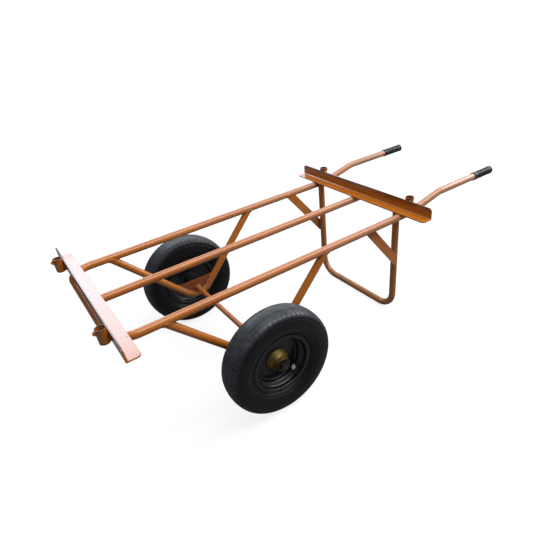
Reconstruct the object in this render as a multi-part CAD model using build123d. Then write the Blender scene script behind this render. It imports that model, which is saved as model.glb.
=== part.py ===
from build123d import *
import math
import os

os.makedirs("parts", exist_ok=True)

# Running gear, on the axle line
wheel_radius = 200.0
tyre_width = 104.0
wheel_y = 355.0
axle_d = 20.0
axle_overhang = 51.5
hub_d = 50.0
hub_half = 36.0
hub_land = 1.5
hub_root_d = 88.0
hub_root_lip = 3.0
hub_root_length = 23.0
bush_d = 28.0
bush_length = 22.0
running_gap = 0.05
side_play = 0.5
washer_d = 50.0
washer_t = 3.0
nut_flats = 30.0
nut_t = 10.0
spacer_d = 27.0

# Pressed rim: flange, bead seat, well and dished disc
rim_flange_r = 113.0
rim_seat_r = 101.6
rim_well_r = 84.0
rim_half = 36.0
rim_t = 3.0
seat_width = 16.8
well_half = 9.0
disc_t = 4.0
disc_offset = -8.0
disc_flat_r = 45.0
disc_flat_offset = -2.4

# Tyre section: bead, side wall, shoulder and crown round the space for the inner tube
bead_width = 15.0
flange_clear = 1.0
tread_half = 43.7
shoulder_drop = 10.8
crown_half = 11.4
tread_t = 9.0
side_wall_t = 7.0

# Bent steel tube
tube_d = 28.0
tube_wall = 2.0
bend_r = 75.0
weld_gap = 0.05

# Deck: two outer rails and a middle rail, all at one height
rail_z = 465.5
rail_y = 260.0
front_tube_x = -455.0

# Handles: the outer rails kick up behind the deck and run on level
kick_start_x = 737.0
kick_run = 164.0
handle_z = 501.5
handle_end_x = 1233.0
grip_d = 34.0
grip_length = 118.0
grip_cap = 4.0

# Equal leg angle across each end of the deck
angle_leg = 45.0
angle_t = 5.0
angle_root_r = 5.0
angle_corner_r = 14.0
angle_half_length = 383.0
front_angle_x = -457.0
rear_angle_x = 712.0

# Stake sockets on the outer faces of the angles, heights from the top of the rails
socket_d = 32.0
socket_wall = 2.0
socket_foot_z = 4.0
socket_top_z = 52.5

# V shaped axle carriers under the outer rails, heights from the axle line
carrier_half_span = 308.0
carrier_apex_z = -29.2
gusset_top_z = 38.0
gusset_t = 6.0

# Parking stand, placed from the rear angle, and its braces, from the stand and the rail
stand_x = -24.0
brace_width = 42.0
brace_t = 5.0
brace_top_x = -148.0
brace_top_z = -21.5
brace_low_x = -46.0
brace_low_z = -148.5
brace_tail = 10.0

tube_r = tube_d / 2
cut_r = tube_r + weld_gap
deck_z = rail_z + tube_r
kick_end_x = kick_start_x + kick_run
leg_x = rear_angle_x + stand_x
stand_y = rail_y - tube_d - weld_gap
front_most_x = front_angle_x - socket_d
rear_most_x = handle_end_x + grip_cap
shift_x = -(front_most_x + rear_most_x) / 2


def bent_path(points):
    corners = [Vector(*point) for point in points]
    edges = []
    start = corners[0]
    for before, here, after in zip(corners[:-2], corners[1:-1], corners[2:]):
        back = (before - here).normalized()
        ahead = (after - here).normalized()
        half = math.radians(back.get_angle(ahead)) / 2
        enter = here + back * (bend_r / math.tan(half))
        leave = here + ahead * (bend_r / math.tan(half))
        inward = (back + ahead).normalized()
        middle = here + inward * (bend_r / math.sin(half) - bend_r)
        edges.append(Edge.make_line(start, enter))
        edges.append(Edge.make_three_point_arc(enter, middle, leave))
        start = leave
    edges.append(Edge.make_line(start, corners[-1]))
    return Wire(edges)


def swept(points, section):
    first = Vector(*points[0])
    second = Vector(*points[1])
    start = Plane(origin=first, z_dir=second - first)
    return sweep(start * section, path=bent_path(points))


def bent_tube(points):
    return swept(points, Circle(tube_r) - Circle(tube_r - tube_wall))


def bent_core(points):
    return swept(points, Circle(cut_r))


def rod(radius, start, end):
    begin = Vector(*start)
    way = Vector(*end) - begin
    return Solid.make_cylinder(radius, way.length, Plane(origin=begin, z_dir=way))


def sleeve(outer_r, inner_r, start, end):
    return rod(outer_r, start, end) - rod(inner_r, start, end)


def only_solid(shape):
    pieces = shape.solids()
    return max(pieces, key=lambda piece: piece.volume)


def save(name, shape):
    piece = only_solid(Pos(shift_x, 0, 0) * shape)
    piece.label = name
    export_step(piece, "parts/" + name + ".step")


# Frame tube: one length of tube makes both handles, both rails and the front
frame_points = [
    (handle_end_x, -rail_y, handle_z),
    (kick_end_x, -rail_y, handle_z),
    (kick_start_x, -rail_y, rail_z),
    (front_tube_x, -rail_y, rail_z),
    (front_tube_x, rail_y, rail_z),
    (kick_start_x, rail_y, rail_z),
    (kick_end_x, rail_y, handle_z),
    (handle_end_x, rail_y, handle_z),
]
frame_core = bent_core(frame_points)
save("frame_tube", bent_tube(frame_points))

# Middle rail, its front end shaped round the front of the frame tube
middle = sleeve(tube_r, tube_r - tube_wall, (front_tube_x, 0, rail_z), (rear_angle_x, 0, rail_z))
save("middle_rail", middle - frame_core)


def angle_iron(outer_x, inward):
    inner_x = outer_x + inward * angle_leg
    centre_x = (outer_x + inner_x) / 2
    long_side = 2 * angle_half_length
    flat = Pos(centre_x, 0, deck_z + angle_t / 2) * Box(angle_leg, long_side, angle_t)
    flat_corners = flat.edges().filter_by(Axis.Z).group_by(Axis.X)[-1 if inward > 0 else 0]
    flat = fillet(flat_corners, angle_corner_r)
    wall_x = outer_x + inward * angle_t / 2
    wall = Pos(wall_x, 0, deck_z + angle_leg / 2) * Box(angle_t, long_side, angle_leg)
    wall = fillet(wall.edges().filter_by(Axis.X).group_by(Axis.Z)[-1], angle_corner_r)
    joined = flat + wall
    root_x = outer_x + inward * angle_t
    root_z = deck_z + angle_t
    along = joined.edges().filter_by(Axis.Y)
    root = min(along, key=lambda edge: abs(edge.center().X - root_x) + abs(edge.center().Z - root_z))
    return fillet(root, angle_root_r)


save("front_angle", angle_iron(front_angle_x, 1))
save("rear_angle", angle_iron(rear_angle_x, -1))

# Stake sockets: short open tubes in line with the outer rails
socket_r = socket_d / 2
for end_name, socket_x in (("front", front_angle_x - socket_r), ("rear", rear_angle_x + socket_r)):
    for side_name, side in (("left", 1), ("right", -1)):
        low = (socket_x, side * rail_y, deck_z + socket_foot_z)
        high = (socket_x, side * rail_y, deck_z + socket_top_z)
        socket = sleeve(socket_r, socket_r - socket_wall, low, high)
        save("socket_" + end_name + "_" + side_name, socket)

# Axle carriers and the gusset plate in the bottom of each
bend_low_z = wheel_radius + carrier_apex_z
plate_z = wheel_radius + gusset_top_z
bend_rise = rail_z - bend_low_z - bend_r
bend_away = math.hypot(carrier_half_span, bend_rise)
leg_angle = math.atan2(bend_rise, carrier_half_span) + math.asin(bend_r / bend_away)
slope = math.tan(leg_angle)
apex_z = rail_z - slope * carrier_half_span
bend_x = bend_r * math.sin(leg_angle)
bend_z = bend_low_z + bend_r - bend_r * math.cos(leg_angle)
gusset_x = (plate_z - apex_z) / slope
for side_name, side in (("left", 1), ("right", -1)):
    plane_y = side * rail_y
    carrier_points = [
        (-carrier_half_span, plane_y, rail_z),
        (0, plane_y, apex_z),
        (carrier_half_span, plane_y, rail_z),
    ]
    save("axle_carrier_" + side_name, bent_tube(carrier_points) - frame_core)
    outline = Polyline(
        (-gusset_x, plate_z),
        (-bend_x, bend_z),
        (0, bend_low_z),
        (bend_x, bend_z),
        (gusset_x, plate_z),
        close=True,
    )
    sheet = Plane(origin=(0, plane_y, 0), x_dir=(1, 0, 0), z_dir=(0, -1, 0)) * make_face(outline)
    plate = extrude(sheet, amount=gusset_t / 2, both=True)
    hole = rod(axle_d / 2, (0, plane_y - tube_d, wheel_radius), (0, plane_y + tube_d, wheel_radius))
    save("gusset_" + side_name, plate - bent_core(carrier_points) - hole)

# Axle right across, through both gussets
axle_end = wheel_y + axle_overhang
save("axle", rod(axle_d / 2, (0, -axle_end, wheel_radius), (0, axle_end, wheel_radius)))

# Parking stand: a U of tube standing inside the rails, under the rear angle
stand_points = [
    (leg_x, -stand_y, deck_z),
    (leg_x, -stand_y, tube_r),
    (leg_x, stand_y, tube_r),
    (leg_x, stand_y, deck_z),
]
save("stand", bent_tube(stand_points))

# Flat braces between rail and stand leg, on the outer face of each leg
brace_run = brace_low_x - brace_top_x
brace_drop = brace_top_z - brace_low_z
brace_slope = brace_drop / brace_run
brace_rise = brace_width / 2 / math.cos(math.atan(brace_slope))
brace_end_x = leg_x + brace_tail


def brace_line_z(x, offset):
    return rail_z + brace_top_z - brace_slope * (x - leg_x - brace_top_x) + offset


def brace_line_x(z, offset):
    return leg_x + brace_top_x + (rail_z + brace_top_z + offset - z) / brace_slope


for side_name, side in (("left", 1), ("right", -1)):
    outline = Polyline(
        (brace_line_x(rail_z, -brace_rise), rail_z),
        (brace_end_x, brace_line_z(brace_end_x, -brace_rise)),
        (brace_end_x, brace_line_z(brace_end_x, brace_rise)),
        (brace_line_x(rail_z, brace_rise), rail_z),
        close=True,
    )
    brace_y = side * (rail_y - tube_r + brace_t / 2)
    sheet = Plane(origin=(0, brace_y, 0), x_dir=(1, 0, 0), z_dir=(0, -1, 0)) * make_face(outline)
    save("brace_" + side_name, extrude(sheet, amount=brace_t / 2, both=True) - frame_core)

# Grips: closed sleeves over the handle ends
for side_name, side in (("left", 1), ("right", -1)):
    tip = (handle_end_x, side * rail_y, handle_z)
    back = (handle_end_x + grip_cap - grip_length, side * rail_y, handle_z)
    end = (handle_end_x + grip_cap, side * rail_y, handle_z)
    grip = rod(grip_d / 2, back, end)
    rim_edges = grip.edges().filter_by(GeomType.CIRCLE).group_by(Axis.X)[-1]
    grip = fillet(rim_edges, grip_cap)
    save("grip_" + side_name, grip - rod(tube_r, back, tip))


# Wheel sections, drawn as radius against the distance outward along the axle; the hub flares onto the disc
seat_y = rim_half - rim_t
slope_y = seat_y - seat_width
disc_half = disc_t / 2
shelf = hub_half - bush_length
bush_bore = axle_d / 2 + running_gap


def rim_section():
    outline = Polyline(
        (rim_flange_r, rim_half),
        (rim_flange_r, seat_y),
        (rim_seat_r, seat_y),
        (rim_seat_r, slope_y),
        (rim_well_r + rim_t, well_half),
        (rim_well_r + rim_t, -well_half),
        (rim_seat_r, -slope_y),
        (rim_seat_r, -seat_y),
        (rim_flange_r, -seat_y),
        (rim_flange_r, -rim_half),
        (rim_seat_r - rim_t, -rim_half),
        (rim_seat_r - rim_t, -slope_y - rim_t),
        (rim_well_r, disc_offset - disc_half),
        (disc_flat_r, disc_flat_offset - disc_half),
        (hub_d / 2, disc_flat_offset - disc_half),
        (hub_d / 2, disc_flat_offset + disc_half),
        (disc_flat_r, disc_flat_offset + disc_half),
        (rim_well_r, disc_offset + disc_half),
        (rim_well_r, well_half),
        (rim_seat_r - rim_t, slope_y + rim_t),
        (rim_seat_r - rim_t, rim_half),
        close=True,
    )
    return make_face(outline)


def tyre_section():
    tyre_half = tyre_width / 2
    foot = (rim_flange_r + flange_clear, seat_y)
    widest = ((rim_flange_r + wheel_radius) / 2, tyre_half)
    shoulder = (wheel_radius - shoulder_drop, tread_half)
    crown = (wheel_radius, crown_half)
    outline = Polyline((rim_seat_r, 0), (rim_seat_r, seat_y), foot)
    outline += TangentArc(widest, foot, tangent=(-1, 0))
    outline += TangentArc(widest, shoulder, tangent=(1, 0))
    outline += TangentArc(crown, shoulder, tangent=(0, 1))
    outline += Polyline(crown, (wheel_radius, 0), (rim_seat_r, 0))
    half = make_face(outline)
    inner_r = wheel_radius - tread_t
    tube_middle_r = (rim_flange_r + inner_r) / 2
    tube_space = Pos(tube_middle_r, 0) * Ellipse(inner_r - tube_middle_r, tyre_half - side_wall_t)
    mouth_middle_r = (rim_seat_r + tube_middle_r) / 2
    mouth = Pos(mouth_middle_r, 0) * Rectangle(tube_middle_r - rim_seat_r, 2 * (seat_y - bead_width))
    return half + mirror(half, about=Plane.XZ) - tube_space - mouth


def hub_section():
    root_y = disc_flat_offset + disc_half
    shelf_r = bush_d / 2 - hub_land
    outline = Polyline(
        (hub_d / 2, -hub_half),
        (hub_d / 2, root_y),
        (hub_root_d / 2, root_y),
        (hub_root_d / 2, root_y + hub_root_lip),
        (hub_d / 2, root_y + hub_root_length),
        (hub_d / 2, hub_half),
        (bush_d / 2, hub_half),
        (bush_d / 2, shelf),
        (shelf_r, shelf),
        (shelf_r, -shelf),
        (bush_d / 2, -shelf),
        (bush_d / 2, -hub_half),
        close=True,
    )
    return make_face(outline)


for side_name, side in (("left", 1), ("right", -1)):
    outward = Pos(0, side * wheel_y, wheel_radius) * Rot(0, 0, 0 if side > 0 else 180)
    save("tyre_" + side_name, outward * revolve(tyre_section(), axis=Axis.Y))
    save("rim_" + side_name, outward * revolve(rim_section(), axis=Axis.Y))
    save("hub_" + side_name, outward * revolve(hub_section(), axis=Axis.Y))
    inner_bush = sleeve(bush_d / 2, bush_bore, (0, -hub_half, 0), (0, -shelf, 0))
    outer_bush = sleeve(bush_d / 2, bush_bore, (0, shelf, 0), (0, hub_half, 0))
    save("bush_inner_" + side_name, outward * inner_bush)
    save("bush_outer_" + side_name, outward * outer_bush)
    plate_face = rail_y + gusset_t / 2 - wheel_y
    spacer = sleeve(spacer_d / 2, axle_d / 2, (0, plate_face, 0), (0, -hub_half - side_play, 0))
    save("spacer_" + side_name, outward * spacer)
    washer_y = hub_half + side_play
    nut_y = washer_y + washer_t
    washer = sleeve(washer_d / 2, axle_d / 2, (0, washer_y, 0), (0, nut_y, 0))
    save("washer_" + side_name, outward * washer)
    nut_plane = Plane(origin=(0, nut_y, 0), x_dir=(1, 0, 0), z_dir=(0, 1, 0))
    nut = extrude(nut_plane * RegularPolygon(nut_flats / math.sqrt(3), 6), amount=nut_t)
    save("axle_nut_" + side_name, outward * (nut - rod(axle_d / 2, (0, nut_y, 0), (0, nut_y + nut_t, 0))))
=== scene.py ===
import bpy
import bmesh
import math
from mathutils import Matrix, Vector


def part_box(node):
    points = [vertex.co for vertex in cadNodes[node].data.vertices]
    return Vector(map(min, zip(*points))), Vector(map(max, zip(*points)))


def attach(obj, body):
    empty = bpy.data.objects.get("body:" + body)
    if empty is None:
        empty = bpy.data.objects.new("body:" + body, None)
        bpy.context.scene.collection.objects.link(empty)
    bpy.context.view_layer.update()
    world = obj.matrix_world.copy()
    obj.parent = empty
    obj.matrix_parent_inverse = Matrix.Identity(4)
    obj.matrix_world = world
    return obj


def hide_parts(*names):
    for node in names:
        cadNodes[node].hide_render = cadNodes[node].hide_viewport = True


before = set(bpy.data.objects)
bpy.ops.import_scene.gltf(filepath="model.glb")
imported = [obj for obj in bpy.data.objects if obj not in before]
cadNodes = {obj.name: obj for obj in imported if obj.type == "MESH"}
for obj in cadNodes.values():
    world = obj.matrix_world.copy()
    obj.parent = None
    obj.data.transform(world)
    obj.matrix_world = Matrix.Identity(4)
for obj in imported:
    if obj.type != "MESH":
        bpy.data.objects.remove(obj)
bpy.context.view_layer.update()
sides = {"left": 1, "right": -1}
print("frame loaded, nodes:", len(cadNodes))


def middleOf(node):
    low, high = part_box(node)
    return (Vector(low) + Vector(high)) / 2


def spanOf(node):
    low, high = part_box(node)
    return Vector(high) - Vector(low)


def addObject(name, data):
    new = bpy.data.objects.new(name, data)
    bpy.context.scene.collection.objects.link(new)
    return new


# where the main steel lies, read from the nodes themselves
axleX = middleOf("axle").x
axleZ = middleOf("axle").z
axleR = spanOf("axle").z / 2
wheelY = middleOf("tyre_left").y
tyreR = spanOf("tyre_left").z / 2
tyreHalf = spanOf("tyre_left").y / 2
flangeR = spanOf("rim_left").z / 2
rimHalf = spanOf("rim_left").y / 2
hubRootR = spanOf("hub_left").z / 2
hubR = spanOf("washer_left").z / 2
hubHalf = spanOf("hub_left").y / 2
railZ = middleOf("middle_rail").z
tubeR = spanOf("middle_rail").y / 2
railY = middleOf("socket_front_left").y
deckZ = railZ + tubeR
legX = middleOf("stand").x
legY = spanOf("stand").y / 2 - tubeR
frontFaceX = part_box("front_angle")[0][0]
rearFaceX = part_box("rear_angle")[1][0]
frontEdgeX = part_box("front_angle")[1][0]
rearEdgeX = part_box("rear_angle")[0][0]
socketR = spanOf("socket_front_left").y / 2
gussetHalf = spanOf("gusset_left").y / 2

# camera, set to the photograph's 540 by 540 frame
viewSettings = dict(
    place=(-0.93727, -1.35654, 1.23307), azimuth=-31.965, elevation=33.984, roll=-6.322,
    framePx=540, focalPx=450.251, centrePx=(285.659, 294.525))


def makeCamera(s):
    az, el, roll = (math.radians(s[key]) for key in ("azimuth", "elevation", "roll"))
    back = Vector((math.sin(az) * math.cos(el), -math.cos(az) * math.cos(el), math.sin(el)))
    across = Vector((0, 0, 1)).cross(back).normalized()
    upward = back.cross(across)
    right = across * math.cos(roll) + upward * math.sin(roll)
    top = upward * math.cos(roll) - across * math.sin(roll)
    data = bpy.data.cameras.new("photoCamera")
    data.lens = data.sensor_width * s["focalPx"] / s["framePx"]
    data.shift_x = (s["framePx"] / 2 - s["centrePx"][0]) / s["framePx"]
    data.shift_y = (s["centrePx"][1] - s["framePx"] / 2) / s["framePx"]
    cam = addObject("photoCamera", data)
    turn = Matrix((right, top, back)).transposed().to_4x4()
    cam.matrix_world = Matrix.Translation(s["place"]) @ turn
    bpy.context.scene.camera = cam


makeCamera(viewSettings)
print("camera placed")


# small helpers for node trees
def addNode(tree, kind, inputs=None, **props):
    node = tree.nodes.new(kind)
    for key, value in props.items():
        setattr(node, key, value)
    for key, value in (inputs or {}).items():
        if isinstance(value, bpy.types.NodeSocket):
            tree.links.new(value, node.inputs[key])
        else:
            node.inputs[key].default_value = value
    return node


def newMaterial(name):
    mat = bpy.data.materials.new(name)
    mat.use_nodes = True
    mat.node_tree.nodes.clear()
    return mat, mat.node_tree


def placeOf(tree):
    return addNode(tree, "ShaderNodeTexCoord").outputs["Object"]


def partOf(tree, place, letter):
    return addNode(tree, "ShaderNodeSeparateXYZ", {"Vector": place}).outputs[letter]


def noiseOf(tree, place, scale, detail=4.0, rough=0.55):
    inputs = {"Vector": place, "Scale": scale, "Detail": detail, "Roughness": rough}
    return addNode(tree, "ShaderNodeTexNoise", inputs).outputs["Fac"]


def rampOf(tree, value, low, high, lowTo=0.0, highTo=1.0):
    inputs = {"Value": value, "From Min": low, "From Max": high, "To Min": lowTo, "To Max": highTo}
    return addNode(tree, "ShaderNodeMapRange", inputs).outputs["Result"]


def patchOf(tree, place, s, name, *levels):
    return rampOf(tree, noiseOf(tree, place, *s[name + "Noise"]), *s[name + "Band"], *levels)


def mathOf(tree, operation, *given, clamp=True):
    node = addNode(tree, "ShaderNodeMath", dict(enumerate(given)), operation=operation, use_clamp=clamp)
    return node.outputs[0]


def vectorOf(tree, operation, *given):
    return addNode(tree, "ShaderNodeVectorMath", dict(enumerate(given)), operation=operation).outputs


def blend(tree, factor, a, b):
    return addNode(tree, "ShaderNodeMix", {0: factor, 6: a, 7: b}, data_type="RGBA").outputs[2]


def mixValues(tree, factor, a, b):
    return addNode(tree, "ShaderNodeMix", {0: factor, 2: a, 3: b}).outputs[0]


# roughness that follows a noise, from a little under its middle to a little over
def dullOf(tree, cloud, middle, under=0.06, over=0.1, band=(0.3, 0.8)):
    return rampOf(tree, cloud, *band, middle - under, middle + over)


def addShare(tree, value, part, share):
    return mathOf(tree, "ADD", value, mathOf(tree, "MULTIPLY", part, share))


def surfaceOf(tree, colour, roughness, bump, metallic=0.0, coat=0.0, coatRough=0.1, specular=0.5):
    height, strength, distance = bump
    lift = addNode(tree, "ShaderNodeBump", {"Height": height, "Strength": strength, "Distance": distance})
    shader = addNode(tree, "ShaderNodeBsdfPrincipled", {
        "Base Color": colour, "Roughness": roughness, "Metallic": metallic, "Coat Weight": coat,
        "Coat Roughness": coatRough, "Specular IOR Level": specular, "Normal": lift.outputs["Normal"]})
    addNode(tree, "ShaderNodeOutputMaterial", {"Surface": shader.outputs["BSDF"]})


# orange-brown gloss paint on the steel, with dust low down, scuffs, a few chips, a darker colour for painted
# shade and a paler one for painted highlight
# a noise is given as scale, detail and roughness, a band as the range it is cut to and its levels
paintSettings = dict(
    base=(0.5, 0.15, 0.011, 1), deep=(0.42, 0.112, 0.007, 1), pale=(0.56, 0.205, 0.03, 1),
    dust=(0.14, 0.08, 0.045, 1), upperShade=(0.2, 0.045, 0.006, 1), steel=(0.075, 0.04, 0.026, 1),
    sheenColour=(0.34, 0.24, 0.185, 1), sheen=0.6, roughness=0.34, coat=0.75, coatRough=0.1, specular=0.25,
    toneNoise=(7.0, 5.0), toneBand=(0.35, 0.7), paleNoise=(2.3, 3.0), paleBand=(0.5, 0.8, 0.0, 0.45),
    dustNoise=(21.0, 8.0, 0.65), dustBand=(0.4, 0.68, 0.3, 1.0), dustHeight=(0.36, 0.12, 0.03, 0.75),
    dustDull=0.6, scuff=0.25, scuffStretch=(160.0, 14.0, 60.0), scuffNoise=(1.0, 6.0, 0.7),
    scuffBand=(0.6, 0.78), chips=0.712, chipEdge=0.02, chipNoise=(95.0, 3.0, 0.5), chipDull=0.3,
    chipDepth=0.6, footHeight=(0.012, 0.001), footBand=(0.1, 0.5, 0.3, 1.0),
    peelNoise=(420.0, 2.0), peelBump=(0.12, 0.0006),
    upperShadeMost=0.5, lipNoise=(18.0, 6.0, 0.6), lipBand=(0.3, 0.6, 0.55, 0.95), lipDepth=(0.0065, 0.0015),
    sheenNoise=(13.0, 6.0, 0.6), sheenBand=(0.3, 0.7, 0.75, 1.0))


def paintColour(tree, coords, s):
    height = partOf(tree, coords, "Z")
    tone = noiseOf(tree, coords, *s["toneNoise"])
    colour = blend(tree, rampOf(tree, tone, *s["toneBand"]), s["deep"], s["base"])
    colour = blend(tree, patchOf(tree, coords, s, "pale"), colour, s["pale"])
    patches = patchOf(tree, coords, s, "dust")
    dusty = mathOf(tree, "MULTIPLY", patches, rampOf(tree, height, *s["dustHeight"]))
    colour = blend(tree, dusty, colour, s["dust"])
    stretch = {"Vector": coords, "Scale": s["scuffStretch"]}
    stretched = addNode(tree, "ShaderNodeMapping", stretch).outputs["Vector"]
    rubbed = patchOf(tree, stretched, s, "scuff", 0.0, s["scuff"])
    colour = blend(tree, rubbed, colour, s["pale"])
    chipped = rampOf(tree, noiseOf(tree, coords, *s["chipNoise"]), s["chips"], s["chips"] + s["chipEdge"])
    # the foot of the stand is rubbed to bare steel by the ground
    footRub = rampOf(tree, height, *s["footHeight"])
    footRub = mathOf(tree, "MULTIPLY", footRub, rampOf(tree, patches, *s["footBand"]))
    chipped = mathOf(tree, "MAXIMUM", chipped, footRub)
    colour = blend(tree, chipped, colour, s["steel"])
    dull = addShare(tree, dullOf(tree, tone, s["roughness"]), dusty, s["dustDull"])
    dull = addShare(tree, dull, chipped, s["chipDull"])
    hollow = mathOf(tree, "MULTIPLY", chipped, s["chipDepth"])
    peel = mathOf(tree, "SUBTRACT", noiseOf(tree, coords, *s["peelNoise"]), hollow)
    return colour, dull, (peel, *s["peelBump"])


def makePaint(name, s, shadeAndWornLip=None, sheenRun=None):
    mat, tree = newMaterial(name)
    coords = placeOf(tree)
    colour, dull, bump = paintColour(tree, coords, s)
    if shadeAndWornLip:
        # painted shade: an angle's upright leg or a socket is painted darker towards its top, and its rubbed
        # top edge shows bare steel
        low, high = shadeAndWornLip
        height = partOf(tree, coords, "Z")
        colour = blend(tree, rampOf(tree, height, low, high, 0.0, s["upperShadeMost"]), colour, s["upperShade"])
        lip = rampOf(tree, height, high - s["lipDepth"][0], high - s["lipDepth"][1])
        lip = mathOf(tree, "MULTIPLY", lip, patchOf(tree, coords, s, "lip"))
        colour = blend(tree, lip, colour, s["steel"])
    if sheenRun:
        # painted highlight: the rails are painted paler towards the handles, standing for the bright
        # reflections there
        worn = rampOf(tree, partOf(tree, coords, "X"), *sheenRun, 0.0, s["sheen"])
        worn = mathOf(tree, "MULTIPLY", worn, patchOf(tree, coords, s, "sheen"))
        colour = blend(tree, worn, colour, s["sheenColour"])
    surfaceOf(tree, colour, dull, bump, coat=s["coat"], coatRough=s["coatRough"], specular=s["specular"])
    return mat


# the axle is painted between the carriers and bare, dark steel in the wheels
axleSettings = dict(
    bare=(0.055, 0.045, 0.04, 1), rust=(0.14, 0.06, 0.025, 1), edge=0.012, edgeNoise=(60.0,),
    edgeBand=(0.2, 0.8), rustNoise=(85.0, 5.0), rustBand=(0.52, 0.68), bareDull=0.12, metallic=0.7, coat=0.15,
    paint=dict(paintSettings, scuff=0.3, chips=0.69))


def makeAxlePaint(name, s):
    mat, tree = newMaterial(name)
    coords = placeOf(tree)
    edge = s["edge"]
    colour, dull, bump = paintColour(tree, coords, s["paint"])
    away = mathOf(tree, "ABSOLUTE", partOf(tree, coords, "Y"), clamp=False)
    away = mathOf(tree, "ADD", away, patchOf(tree, coords, s, "edge", -edge, edge), clamp=False)
    bare = rampOf(tree, away, railY + gussetHalf, railY + gussetHalf + edge)
    steel = blend(tree, patchOf(tree, coords, s, "rust"), s["bare"], s["rust"])
    colour = blend(tree, bare, colour, steel)
    dull = addShare(tree, dull, bare, s["bareDull"])
    surfaceOf(tree, colour, dull, bump, mathOf(tree, "MULTIPLY", bare, s["metallic"]), s["coat"])
    return mat


# black rubber; the tread's crown is painted bluish grey, partly rubbed wear and partly a painted sheen
rubberSettings = dict(
    base=(0.0026, 0.0026, 0.0038, 1), worn=(0.0065, 0.0064, 0.0085, 1), dust=(0.03, 0.028, 0.026, 1),
    crown=(0.066, 0.07, 0.082, 1), crownDepth=0.02, crownFull=0.2, specular=0.32, rough=0.4, under=0.07,
    cloudNoise=(16.0, 6.0, 0.6), cloudBand=(0.4, 0.75), dustNoise=(48.0, 9.0, 0.7), dustBand=(0.55, 0.85),
    dustMost=0.3, dustDull=0.5, treadWearAndSheen=0.9, wearLeast=0.4, wearNoise=(34.0, 6.0, 0.6),
    wearBand=(0.35, 0.65), grainNoise=(600.0, 3.0), grainBump=(0.15, 0.0005))
gripFinish = dict(rubberSettings, base=(0.009, 0.01, 0.012, 1), worn=(0.015, 0.016, 0.019, 1),
                  dustMost=0.2, rough=0.42, grainNoise=(900.0, 3.0), treadWearAndSheen=0.0)


# how far a point lies out from the axle line, as a share of the tread's depth
def crownShare(tree, coords, s):
    away = vectorOf(tree, "SUBTRACT", coords, (axleX, 0, axleZ))[0]
    flat = vectorOf(tree, "MULTIPLY", away, (1, 0, 1))[0]
    radius = vectorOf(tree, "LENGTH", flat)["Value"]
    return rampOf(tree, radius, tyreR - s["crownDepth"], tyreR - s["crownDepth"] * s["crownFull"])


def makeRubber(name, s):
    mat, tree = newMaterial(name)
    coords = placeOf(tree)
    cloud = noiseOf(tree, coords, *s["cloudNoise"])
    colour = blend(tree, rampOf(tree, cloud, *s["cloudBand"]), s["base"], s["worn"])
    dusting = patchOf(tree, coords, s, "dust", 0.0, s["dustMost"])
    colour = blend(tree, dusting, colour, s["dust"])
    wear = s["treadWearAndSheen"]
    if wear:
        # the crown's grey is partly a painted sheen on the tread
        blotches = patchOf(tree, coords, s, "wear", wear * s["wearLeast"], wear)
        rubbedAndSheen = mathOf(tree, "MULTIPLY", crownShare(tree, coords, s), blotches)
        colour = blend(tree, rubbedAndSheen, colour, s["crown"])
    dull = addShare(tree, dullOf(tree, cloud, s["rough"], s["under"]), dusting, s["dustDull"])
    grain = noiseOf(tree, coords, *s["grainNoise"])
    surfaceOf(tree, colour, dull, (grain, *s["grainBump"]), specular=s["specular"])
    return mat


# plain metal, nylon and wheel paint, each with a second tone and spots
metalSettings = dict(
    rimBlack=dict(base=(0.005, 0.005, 0.0068, 1), other=(0.012, 0.012, 0.015, 1),
                  spots=(0.09, 0.055, 0.035, 1), metallic=0.0, rough=0.28, spotAt=0.7),
    # washers, nuts and spacers are dark steel; at the wheel ends their darkness is partly painted shade
    oiledSteel=dict(base=(0.03, 0.024, 0.021, 1), other=(0.06, 0.05, 0.044, 1),
                    spots=(0.12, 0.05, 0.02, 1), metallic=0.7, rough=0.42, spotAt=0.64),
    # the valve cap's pale grey is partly a painted highlight
    valveGrey=dict(base=(0.34, 0.33, 0.33, 1), other=(0.25, 0.25, 0.25, 1),
                   spots=(0.12, 0.11, 0.1, 1), metallic=0.1, rough=0.42, spotAt=0.7),
    bushNylon=dict(base=(0.018, 0.018, 0.018, 1), other=(0.035, 0.034, 0.032, 1),
                   spots=(0.06, 0.05, 0.04, 1), metallic=0.0, rough=0.55, spotAt=0.7))
hubSettings = dict(base=(0.22, 0.14, 0.034, 1), other=(0.165, 0.105, 0.026, 1),
                   spots=(0.14, 0.08, 0.03, 1), metallic=0.6, rough=0.38, spotAt=0.68)
metalWear = dict(
    cloudNoise=(30.0, 6.0, 0.6), cloudBand=(0.38, 0.72), spotNoise=(110.0, 5.0, 0.6), spotEdge=0.06,
    spotDull=0.3, spotShine=0.3, grainNoise=(350.0, 3.0), grainBump=(0.08, 0.0004), hubEdge=0.002)


def makeMetal(name, s, behind=None):
    mat, tree = newMaterial(name)
    coords = placeOf(tree)
    wear = metalWear
    cloud = noiseOf(tree, coords, *wear["cloudNoise"])
    tone = rampOf(tree, cloud, *wear["cloudBand"])
    colour = blend(tree, tone, s["base"], s["other"])
    spots = noiseOf(tree, coords, *wear["spotNoise"])
    spots = rampOf(tree, spots, s["spotAt"], s["spotAt"] + wear["spotEdge"])
    if behind:
        # the hub is zinc outside the disc and black with the wheel's own paint behind it
        away = mathOf(tree, "ABSOLUTE", partOf(tree, coords, "Y"), clamp=False)
        outside = rampOf(tree, away, wheelY - wear["hubEdge"], wheelY)
        black = blend(tree, tone, behind["base"], behind["other"])
        colour = blend(tree, outside, black, colour)
        shine = mathOf(tree, "MULTIPLY", outside, s["metallic"])
    else:
        shine = rampOf(tree, spots, 0.0, 1.0, s["metallic"], s["metallic"] * wear["spotShine"])
    colour = blend(tree, spots, colour, s["spots"])
    dull = addShare(tree, dullOf(tree, cloud, s["rough"]), spots, wear["spotDull"])
    grain = noiseOf(tree, coords, *wear["grainNoise"])
    surfaceOf(tree, colour, dull, (grain, *wear["grainBump"]), shine)
    return mat
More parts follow.
